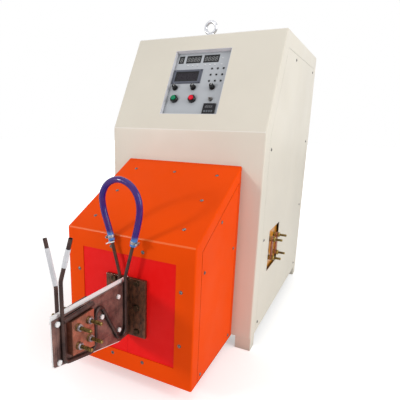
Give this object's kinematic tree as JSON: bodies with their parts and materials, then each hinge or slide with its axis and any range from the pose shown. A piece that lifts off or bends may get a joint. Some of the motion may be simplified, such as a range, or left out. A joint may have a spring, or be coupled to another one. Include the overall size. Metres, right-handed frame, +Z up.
{
  "type": "induction heating machine",
  "caption": "Floor-standing induction heater: a tall cabinet with a sloping control face, a heating station on its front and water-cooled copper output plates.",
  "frame": {"origin": "middle of the footprint of the whole machine, at floor level", "axes": "+X to the right in front view, +Y from the front to the back, +Z up"},
  "size_m": [0.645, 1.642, 1.201],
  "materials": {
    "cream_paint": "satin powder coat",
    "orange_paint": "satin powder coat",
    "frame_paint": "grey primer",
    "zinc_steel": "zinc plated",
    "tray_metal": "brushed",
    "panel_print": "matt grey print",
    "smoked_lens": "smoked red lens",
    "bezel_grey": "moulded",
    "screen_dark": "dark display window",
    "lamp_white": "diffusing lens",
    "circuit_board": "glass-fibre board",
    "black_plastic": "moulded",
    "green_cap": "moulded",
    "red_cap": "moulded",
    "board_yellow": "varnished laminate",
    "brass": "machined",
    "copper": "salmon copper, lightly tarnished",
    "copper_dark": "dark, heat-stained copper",
    "red_insulator": "pressed insulating board",
    "white_plastic": "white engineering plastic",
    "hose_rubber": "blue reinforced hose",
    "core_grey": "sintered core",
    "capacitor_case": "drawn case",
    "power_case": "module cases on a cold plate"
  },
  "bodies": {
    "machine": {"cabinet_base": "cream_paint", "cabinet_frame": "frame_paint", "cabinet_shell": "cream_paint", "right_side_panel": "cream_paint", "left_side_panel": "cream_paint", "rear_panel": "cream_paint", "eye_bolts": "zinc_steel", "panel_screws": "zinc_steel", "panel_tray": "tray_metal", "panel_plate": "panel_print", "display_modules": "smoked_lens", "screen_bezel": "bezel_grey", "screen_glass": "screen_dark", "indicator_lamps": "lamp_white", "control_board": "circuit_board", "potentiometers": "zinc_steel", "push_button_bodies": "black_plastic", "toggle_switch": "zinc_steel", "panel_timer": "black_plastic", "terminal_board": "board_yellow", "terminal_studs": "brass", "terminal_links": "copper", "station_shell": "orange_paint", "station_slope_cover": "orange_paint", "station_right_panel": "orange_paint", "station_left_panel": "orange_paint", "insulating_panel_left": "red_insulator", "insulating_panel_right": "red_insulator", "left_output_plate": "copper_dark", "right_output_plate": "copper_dark", "spacer_sheet": "white_plastic", "clamp_blocks": "copper", "clamp_studs": "brass", "nylon_bolts": "white_plastic", "flange_bolts": "zinc_steel", "left_cooling_tube": "copper_dark", "right_cooling_tube": "copper_dark", "jumper_hose": "hose_rubber", "hose_clamps": "zinc_steel", "transformer_core": "core_grey", "transformer_winding": "copper", "tank_capacitors": "capacitor_case", "power_modules": "power_case", "water_manifold": "brass", "cable_gland": "black_plastic"},
    "key_1": {"key_1": "black_plastic"},
    "key_2": {"key_2": "black_plastic"},
    "key_3": {"key_3": "black_plastic"},
    "key_4": {"key_4": "black_plastic"},
    "key_5": {"key_5": "black_plastic"},
    "key_6": {"key_6": "black_plastic"},
    "key_7": {"key_7": "black_plastic"},
    "key_8": {"key_8": "black_plastic"},
    "key_9": {"key_9": "black_plastic"},
    "knob_left": {"knob_left": "black_plastic"},
    "knob_middle": {"knob_middle": "black_plastic"},
    "knob_right": {"knob_right": "black_plastic"},
    "green_button": {"green_button": "green_cap"},
    "red_button": {"red_button": "red_cap"},
    "toggle_lever": {"toggle_lever": "zinc_steel"}
  },
  "joints": [
    {"name": "key_1_press", "type": "slide", "parent": "machine", "child": "key_1", "axis": [0, 0.8767, -0.481], "range_m": [0, 0.0008], "stiffness_N_per_m": 300, "springref_m": -0.0005},
    {"name": "key_2_press", "type": "slide", "parent": "machine", "child": "key_2", "axis": [0, 0.8767, -0.481], "range_m": [0, 0.0008], "stiffness_N_per_m": 300, "springref_m": -0.0005},
    {"name": "key_3_press", "type": "slide", "parent": "machine", "child": "key_3", "axis": [0, 0.8767, -0.481], "range_m": [0, 0.0008], "stiffness_N_per_m": 300, "springref_m": -0.0005},
    {"name": "key_4_press", "type": "slide", "parent": "machine", "child": "key_4", "axis": [0, 0.8767, -0.481], "range_m": [0, 0.0008], "stiffness_N_per_m": 300, "springref_m": -0.0005},
    {"name": "key_5_press", "type": "slide", "parent": "machine", "child": "key_5", "axis": [0, 0.8767, -0.481], "range_m": [0, 0.0008], "stiffness_N_per_m": 300, "springref_m": -0.0005},
    {"name": "key_6_press", "type": "slide", "parent": "machine", "child": "key_6", "axis": [0, 0.8767, -0.481], "range_m": [0, 0.0008], "stiffness_N_per_m": 300, "springref_m": -0.0005},
    {"name": "key_7_press", "type": "slide", "parent": "machine", "child": "key_7", "axis": [0, 0.8767, -0.481], "range_m": [0, 0.0008], "stiffness_N_per_m": 300, "springref_m": -0.0005},
    {"name": "key_8_press", "type": "slide", "parent": "machine", "child": "key_8", "axis": [0, 0.8767, -0.481], "range_m": [0, 0.0008], "stiffness_N_per_m": 300, "springref_m": -0.0005},
    {"name": "key_9_press", "type": "slide", "parent": "machine", "child": "key_9", "axis": [0, 0.8767, -0.481], "range_m": [0, 0.0008], "stiffness_N_per_m": 300, "springref_m": -0.0005},
    {"name": "knob_left_turn", "type": "hinge", "parent": "machine", "child": "knob_left", "pos_m": [-0.10449, -0.03338, 0.94516], "axis": [0, -0.8767, 0.481], "range_deg": [-150, 150]},
    {"name": "knob_middle_turn", "type": "hinge", "parent": "machine", "child": "knob_middle", "pos_m": [-0.02949, -0.03338, 0.94516], "axis": [0, -0.8767, 0.481], "range_deg": [-150, 150]},
    {"name": "knob_right_turn", "type": "hinge", "parent": "machine", "child": "knob_right", "pos_m": [0.04551, -0.03338, 0.94516], "axis": [0, -0.8767, 0.481], "range_deg": [-150, 150]},
    {"name": "green_button_press", "type": "slide", "parent": "machine", "child": "green_button", "axis": [0, 0.8767, -0.481], "range_m": [0, 0.004], "stiffness_N_per_m": 300, "springref_m": -0.002},
    {"name": "red_button_press", "type": "slide", "parent": "machine", "child": "red_button", "axis": [0, 0.8767, -0.481], "range_m": [0, 0.004], "stiffness_N_per_m": 300, "springref_m": -0.002},
    {"name": "toggle_flip", "type": "hinge", "parent": "machine", "child": "toggle_lever", "pos_m": [0.04954, -0.05759, 0.90311], "axis": [-1, 0, 0], "range_deg": [0, 24]}
  ]
}
